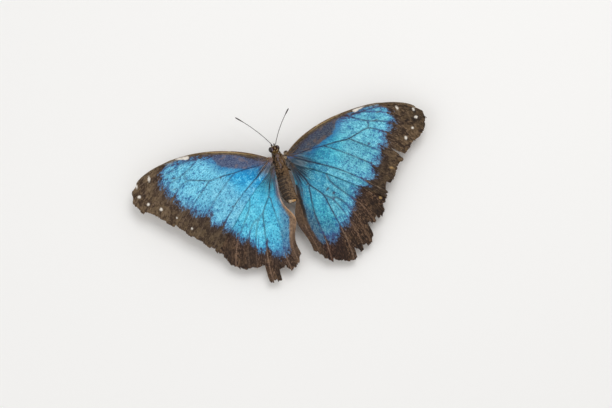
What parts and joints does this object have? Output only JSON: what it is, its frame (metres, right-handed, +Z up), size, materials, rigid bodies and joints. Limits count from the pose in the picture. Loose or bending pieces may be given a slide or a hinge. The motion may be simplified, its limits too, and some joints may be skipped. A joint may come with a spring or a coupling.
{
  "type": "blue morpho butterfly",
  "caption": "Life-size butterfly at rest with worn blue wings edged in brown spread nearly flat, slim feelers, furry body and thin legs.",
  "frame": {"origin": "on the floor, below the middle of the outline seen from above", "axes": "+Y towards the head, +X towards the butterfly's right, +Z up"},
  "size_m": [0.129, 0.0734, 0.0204],
  "materials": {
    "wing": "dry scaled membrane, metallic blue inside a dark brown border",
    "fur": "short brown hair with a few lilac-grey hairs",
    "abdomen_scales": "flat-lying brown scales with a tan rim at the tip",
    "eye": "smooth, finely faceted, dark brown",
    "feeler": "dark brown, finely ringed",
    "leg": "brown shell with short scales and spines"
  },
  "bodies": {
    "root": {"head": "fur", "thorax": "fur", "abdomen": "abdomen_scales", "proboscis": "feeler", "forewing_left": "wing", "forewing_right": "wing", "hindwing_left": "wing", "hindwing_right": "wing", "antenna_left": "feeler", "antenna_right": "feeler", "eye_left": "eye", "eye_right": "eye", "palp_left": "fur", "palp_right": "fur", "foreleg_left": "fur", "foreleg_right": "fur", "midleg_left_femur": "leg", "midleg_left_tibia": "leg", "midleg_left_tarsus": "leg", "midleg_right_femur": "leg", "midleg_right_tibia": "leg", "midleg_right_tarsus": "leg", "hindleg_left_femur": "leg", "hindleg_left_tibia": "leg", "hindleg_left_tarsus": "leg", "hindleg_right_femur": "leg", "hindleg_right_tibia": "leg", "hindleg_right_tarsus": "leg"}
  },
  "joints": []
}
